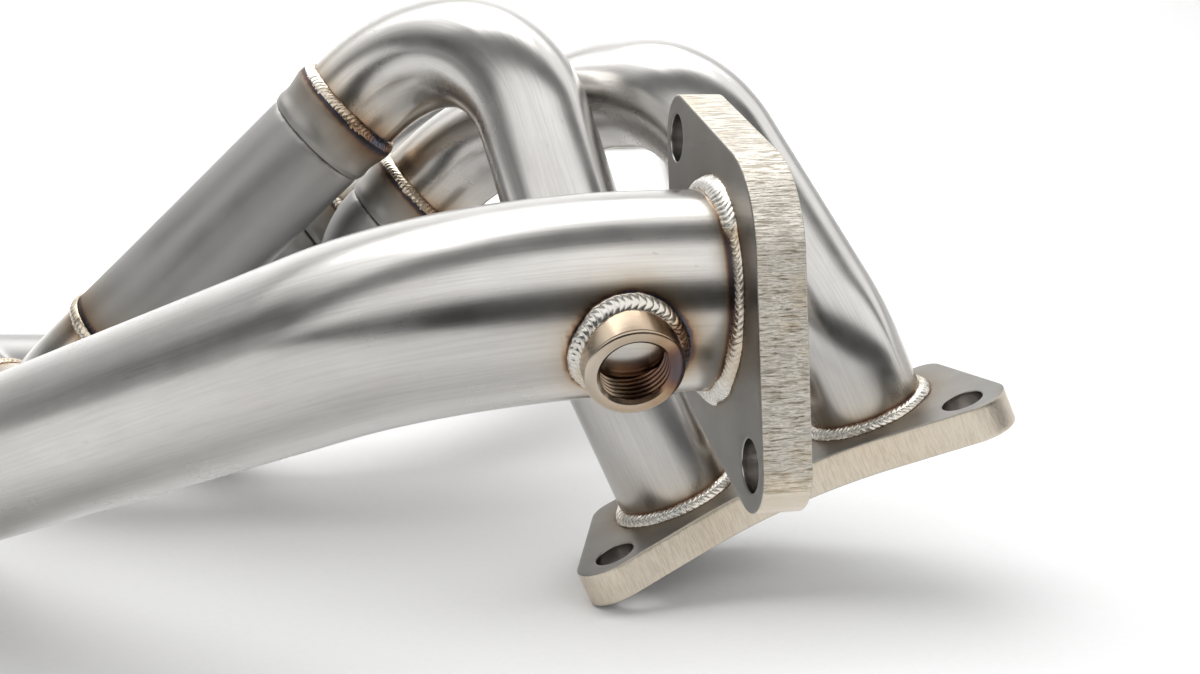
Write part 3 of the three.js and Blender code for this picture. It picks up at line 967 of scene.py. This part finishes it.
def build():
    steel, formed, flat = tube_steel(), formed_steel(), plate_steel()
    for bank in BANKS:
        show(head_flange(bank, flat), "plate_steel", f"head_flange_{bank}")
    show(outlet_flange(flat), "plate_steel", "outlet_flange")
    for name in PRIMARIES:
        piece = tube(f"primary_tube_{name}_look", primary_route(name), PRIMARY_OD, PRIMARY_BEND, steel)
        show(piece, "tube_steel", f"primary_tube_{name}")
        show(collar(f"collar_{name}_look", name, formed), "formed_steel", f"collar_{name}")
    for name, collector in COLLECTORS.items():
        runs = [(leg_route(collector, leg), LEG_BEND, LEG_OD / 2) for leg in collector["legs"]]
        show(merged_body(f"collector_{name}_look", runs, formed), "formed_steel", f"collector_{name}")
        route = secondary_route(name)
        piece = tube(f"secondary_tube_{name}_look", route, SECONDARY_OD, SECONDARY_BEND, steel)
        show(piece, "tube_steel", f"secondary_tube_{name}")
    show(merged_body("final_collector_look", final_runs(), formed), "formed_steel", "final_collector")
    show(tube("return_bend_look", RETURN_ROUTE, OUTLET_OD, RETURN_BEND, steel), "tube_steel", "return_bend")
    piece = tube("outlet_tube_look", OUTLET_ROUTE, OUTLET_OD, OUTLET_BEND, steel, 128, 1.3)
    show(piece, "tube_steel", "outlet_tube")
    show(bung(bung_steel()), "bung_steel", "sensor_bung")
    bright = weld_metal()
    for name, weld in WELDS.items():
        points, faces, temper = bead_mesh(weld)
        show(new_object(f"{name}_look", points, faces, bright, oxide=temper), "weld_metal", name)


# ------------------------------------------------------------------ studio
CAMERA_PLACE = Vector((-108.9, -318.9, 58.4))
CAMERA_PITCH, CAMERA_HEADING = math.radians(12), math.radians(12.11)
LENS, SENSOR = 40, 36

# The light that reaches the part, by half turns from the horizon behind the camera up over the
# top and down to the horizon behind the part: a dark room, a softbox, a gap, a softbox, a wall.
DOME = (
    (0.0, 0.02),
    (0.11, 0.03),
    (0.14, 0.85),
    (0.34, 0.95),
    (0.375, 0.1),
    (0.5, 0.12),
    (0.53, 1.0),
    (0.75, 0.9),
    (0.8, 0.4),
    (1.0, 0.6),
)
DOME_STRENGTH = 1.45
DARK_SIDE = (-0.93, 0.15, 0.3)  # the direction of the unlit end of the room


def studio():
    scene = bpy.context.scene
    camera = bpy.data.objects.new("camera", bpy.data.cameras.new("camera"))
    camera.data.lens = LENS
    camera.data.sensor_width = SENSOR
    camera.data.clip_start = 0.01
    camera.location = ORIGIN + CAMERA_PLACE * MM
    camera.rotation_euler = (math.pi / 2 - CAMERA_PITCH, 0, -CAMERA_HEADING)
    scene.collection.objects.link(camera)
    scene.camera = camera
    scene.view_settings.view_transform = "Standard"
    floor = backdrop()
    softbox("top", (-0.1, 0.5, 1.6), (0, 0, 0), (1.6, 1.0), 9)
    softbox("wall", (0, 1.1, 1.9), (0, 3.0, 0.3), (3.0, 0.6), 60)
    scene.world = room()


def softbox(name, place, target, size, power):
    light = bpy.data.lights.new(name, "AREA")
    light.shape = "RECTANGLE"
    light.size, light.size_y = size
    light.energy = power
    holder = bpy.data.objects.new(name, light)
    holder.location = place
    holder.rotation_euler = (Vector(target) - Vector(place)).to_track_quat("-Z", "Y").to_euler()
    bpy.context.scene.collection.objects.link(holder)


def room():
    """The world: the bands of DOME, darker towards DARK_SIDE."""
    world = bpy.data.worlds.new("studio")
    world.use_nodes = True
    dome = Nodes(world.node_tree)
    direction = dome.node("ShaderNodeTexCoord", output="Generated")
    height = dome.node("ShaderNodeSeparateXYZ", {0: direction}, output=2)
    back = dome.node("ShaderNodeSeparateXYZ", {0: direction}, output=1)
    swing = dome.math("ARCTAN2", height, dome.math("MULTIPLY", back, -1.0))
    bands = dome.ramp(dome.math("DIVIDE", swing, math.pi), *DOME)
    aside = dome.node(
        "ShaderNodeVectorMath", {0: direction, 1: DARK_SIDE}, output=1, operation="DISTANCE",
    )
    light = dome.mix(1.0, bands, dome.ramp(aside, (0.12, 0.12), (0.5, 1.0)), "MULTIPLY")
    background = world.node_tree.nodes["Background"]
    dome.put(background.inputs["Color"], light)
    dome.put(background.inputs["Strength"], DOME_STRENGTH)
    return world


def backdrop(width=8.0, near=-0.75, far=3.0, curve=1.0, height=3.0):
    """A white floor that curves up into a wall behind the part."""
    material = Shader("paper")
    place = material.node("ShaderNodeTexCoord", output="Object")
    grain = material.noise(place, 400, 2, 0.5)
    material.set(
        Base_Color=material.mix(grain, (0.86, 0.86, 0.86), (0.90, 0.90, 0.90)),
        Roughness=0.7,
        Normal=material.bump(grain, 0.0001, 0.2),
    )
    profile = [(near, 0.0), (far - curve, 0.0)]
    for k in range(1, 17):
        angle = math.pi / 2 * k / 16
        profile.append((far - curve + curve * math.sin(angle), curve * (1 - math.cos(angle))))
    profile.append((far, height))
    mesh = bpy.data.meshes.new("backdrop")
    vertices = [(side * width / 2, y, z) for y, z in profile for side in (-1, 1)]
    faces = [(2 * k, 2 * k + 1, 2 * k + 3, 2 * k + 2) for k in range(len(profile) - 1)]
    mesh.from_pydata(vertices, [], faces)
    mesh.shade_smooth()
    mesh.materials.append(material.material)
    floor = bpy.data.objects.new("backdrop", mesh)
    bpy.context.scene.collection.objects.link(floor)
    return floor


build()
studio()
